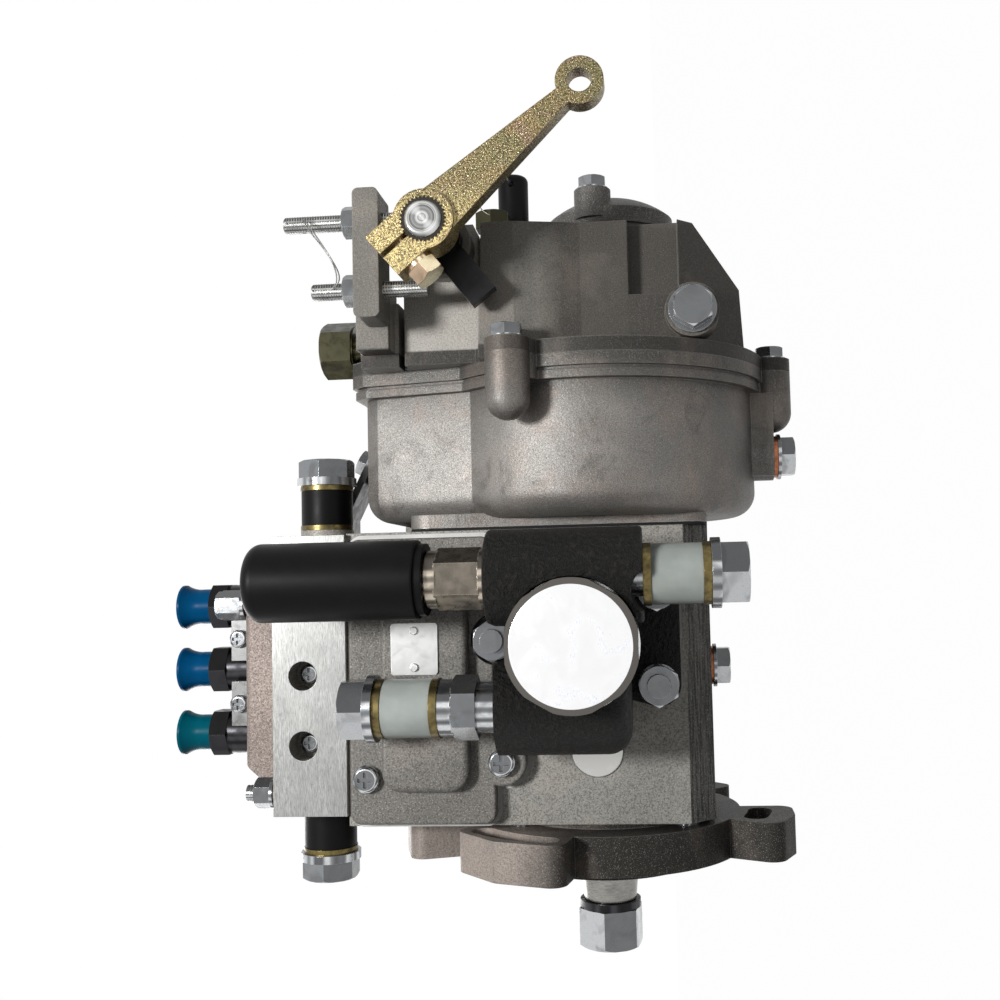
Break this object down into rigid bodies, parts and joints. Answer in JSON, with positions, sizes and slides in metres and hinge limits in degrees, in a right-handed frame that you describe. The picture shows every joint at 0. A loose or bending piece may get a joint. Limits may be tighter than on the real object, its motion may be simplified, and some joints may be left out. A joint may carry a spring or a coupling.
{
  "type": "in-line diesel injection pump",
  "caption": "In-line diesel injection pump with camshaft, rack, flyweight governor, throttle lever, flange mounting, feed pump and hand primer.",
  "frame": {"origin": "on the camshaft's axis, in the plane of the mounting flange's face", "axes": "+X along the camshaft from the drive end to the governor, +Z towards the delivery outlets, -Y towards the feed pump and the throttle lever"},
  "size_m": [0.31, 0.1713, 0.2439],
  "materials": {
    "cast_aluminium": "sand cast, faces milled",
    "gasket_paper": "pressed fibre sheet",
    "gasket_black": "plain",
    "zinc_plate": "zinc plated",
    "bright_plate": "bright plated",
    "ground_steel": "ground",
    "black_steel": "black oxide",
    "seal_rubber": "plain",
    "black_plastic": "satin",
    "white_nylon": "cloudy nylon",
    "brass": "turned",
    "black_casting": "sand cast, painted black",
    "yellow_zinc": "yellow zinc plate over a casting",
    "blue_plastic": "smooth"
  },
  "bodies": {
    "pump": {"pump_housing": "cast_aluminium", "mounting_flange": "cast_aluminium", "side_cover": "cast_aluminium", "paper_gaskets": "gasket_paper", "governor_gasket": "gasket_black", "cross_head_screws": "zinc_plate", "name_plate": "zinc_plate", "camshaft_bearings": "ground_steel", "shaft_seal": "seal_rubber", "pumping_barrels": "ground_steel", "delivery_valve_holders": "black_steel", "holder_clamps": "zinc_plate", "banjo_bolts": "zinc_plate", "black_sleeves": "black_plastic", "white_sleeves": "white_nylon", "sealing_washers": "brass", "hex_plugs": "zinc_plate", "governor_bowl": "cast_aluminium", "governor_cover": "cast_aluminium", "hex_bolts": "zinc_plate", "governor_lid": "cast_aluminium", "stop_screws": "zinc_plate", "hex_nuts": "zinc_plate", "feed_pump_body": "black_casting", "feed_pump_plug": "bright_plate", "studs": "zinc_plate", "primer_barrel": "bright_plate", "brass_fittings": "brass", "full_load_cap": "black_plastic", "outlet_adapter": "zinc_plate", "strap_bracket": "zinc_plate", "governor_pin": "ground_steel"},
    "camshaft": {"camshaft": "ground_steel", "spring_washer": "black_steel", "drive_nut": "zinc_plate", "flyweight_carrier": "ground_steel"},
    "flyweight_one": {"flyweight_1": "ground_steel"},
    "flyweight_two": {"flyweight_2": "ground_steel"},
    "sliding_sleeve": {"governor_sleeve": "ground_steel"},
    "governor_lever": {"governor_lever": "ground_steel"},
    "rack": {"control_rack": "ground_steel"},
    "control_sleeve_one": {"control_sleeve_1": "ground_steel"},
    "control_sleeve_two": {"control_sleeve_2": "ground_steel"},
    "control_sleeve_three": {"control_sleeve_3": "ground_steel"},
    "plunger_one": {"plunger_1": "ground_steel", "plunger_spring_1": "ground_steel"},
    "plunger_two": {"plunger_2": "ground_steel", "plunger_spring_2": "ground_steel"},
    "plunger_three": {"plunger_3": "ground_steel", "plunger_spring_3": "ground_steel"},
    "throttle": {"throttle_lever": "yellow_zinc", "clamp_bolt": "yellow_zinc", "throttle_shaft": "ground_steel", "stop_arm": "black_steel"},
    "feed_piston": {"feed_piston": "ground_steel"},
    "primer": {"primer_knob": "black_plastic", "primer_rod": "ground_steel"},
    "cap_one": {"outlet_cap_1": "blue_plastic"},
    "cap_two": {"outlet_cap_2": "blue_plastic"},
    "cap_three": {"outlet_cap_3": "blue_plastic"}
  },
  "joints": [
    {"name": "camshaft_spin", "type": "hinge", "parent": "pump", "child": "camshaft", "pos_m": [0, 0, 0], "axis": [1, 0, 0], "continuous": true},
    {"name": "flyweight_one_swing", "type": "hinge", "parent": "camshaft", "child": "flyweight_one", "pos_m": [0.1445, 0, 0.024], "axis": [0, -1, 0], "range_deg": [0, 26.7]},
    {"name": "flyweight_two_swing", "type": "hinge", "parent": "camshaft", "child": "flyweight_two", "pos_m": [0.1445, 0, -0.024], "axis": [0, 1, 0], "range_deg": [0, 26.7]},
    {"name": "sleeve_slide", "type": "slide", "parent": "camshaft", "child": "sliding_sleeve", "axis": [1, 0, 0], "range_m": [0, 0.0059]},
    {"name": "governor_lever_swing", "type": "hinge", "parent": "pump", "child": "governor_lever", "pos_m": [0.176, 0, 0.044], "axis": [0, -1, 0], "range_deg": [0, 7.6]},
    {"name": "rack_slide", "type": "slide", "parent": "pump", "child": "rack", "axis": [1, 0, 0], "range_m": [-0.0044, 0]},
    {"name": "control_sleeve_one_turn", "type": "hinge", "parent": "pump", "child": "control_sleeve_one", "pos_m": [0.045, 0, 0.078], "axis": [0, 0, 1], "range_deg": [0, 22.8]},
    {"name": "control_sleeve_two_turn", "type": "hinge", "parent": "pump", "child": "control_sleeve_two", "pos_m": [0.07, 0, 0.078], "axis": [0, 0, 1], "range_deg": [0, 22.8]},
    {"name": "control_sleeve_three_turn", "type": "hinge", "parent": "pump", "child": "control_sleeve_three", "pos_m": [0.095, 0, 0.078], "axis": [0, 0, 1], "range_deg": [0, 22.8]},
    {"name": "plunger_one_lift", "type": "slide", "parent": "pump", "child": "plunger_one", "axis": [0, 0, 1], "range_m": [-0.008, 0], "deforming": ["plunger_spring_1"]},
    {"name": "plunger_two_lift", "type": "slide", "parent": "pump", "child": "plunger_two", "axis": [0, 0, 1], "range_m": [-0.008, 0], "deforming": ["plunger_spring_2"]},
    {"name": "plunger_three_lift", "type": "slide", "parent": "pump", "child": "plunger_three", "axis": [0, 0, -1], "range_m": [0, 0.008], "deforming": ["plunger_spring_3"]},
    {"name": "throttle_swing", "type": "hinge", "parent": "pump", "child": "throttle", "pos_m": [0.2205, -0.084, 0.051], "axis": [0, 1, 0], "range_deg": [0, 28]},
    {"name": "feed_piston_slide", "type": "slide", "parent": "pump", "child": "feed_piston", "axis": [0, -1, 0], "range_m": [-0.005, 0]},
    {"name": "primer_stroke", "type": "slide", "parent": "pump", "child": "primer", "axis": [0, 0, 1], "range_m": [0, 0.025]},
    {"name": "cap_one_lift", "type": "slide", "parent": "pump", "child": "cap_one", "axis": [0, 0, 1], "range_m": [0, 0.02]},
    {"name": "cap_two_lift", "type": "slide", "parent": "pump", "child": "cap_two", "axis": [0, 0, 1], "range_m": [0, 0.02]},
    {"name": "cap_three_lift", "type": "slide", "parent": "pump", "child": "cap_three", "axis": [0, 0, 1], "range_m": [0, 0.02]}
  ],
  "couplings": [
    {"joint": "sleeve_slide", "follows": "governor_lever_swing", "m_per_rad": 0.044},
    {"joint": "flyweight_one_swing", "follows": "governor_lever_swing", "ratio": 3.5},
    {"joint": "flyweight_two_swing", "follows": "governor_lever_swing", "ratio": 3.5},
    {"joint": "rack_slide", "follows": "governor_lever_swing", "m_per_rad": -0.0328},
    {"joint": "control_sleeve_one_turn", "follows": "governor_lever_swing", "ratio": 2.982},
    {"joint": "control_sleeve_two_turn", "follows": "governor_lever_swing", "ratio": 2.982},
    {"joint": "control_sleeve_three_turn", "follows": "governor_lever_swing", "ratio": 2.982}
  ]
}
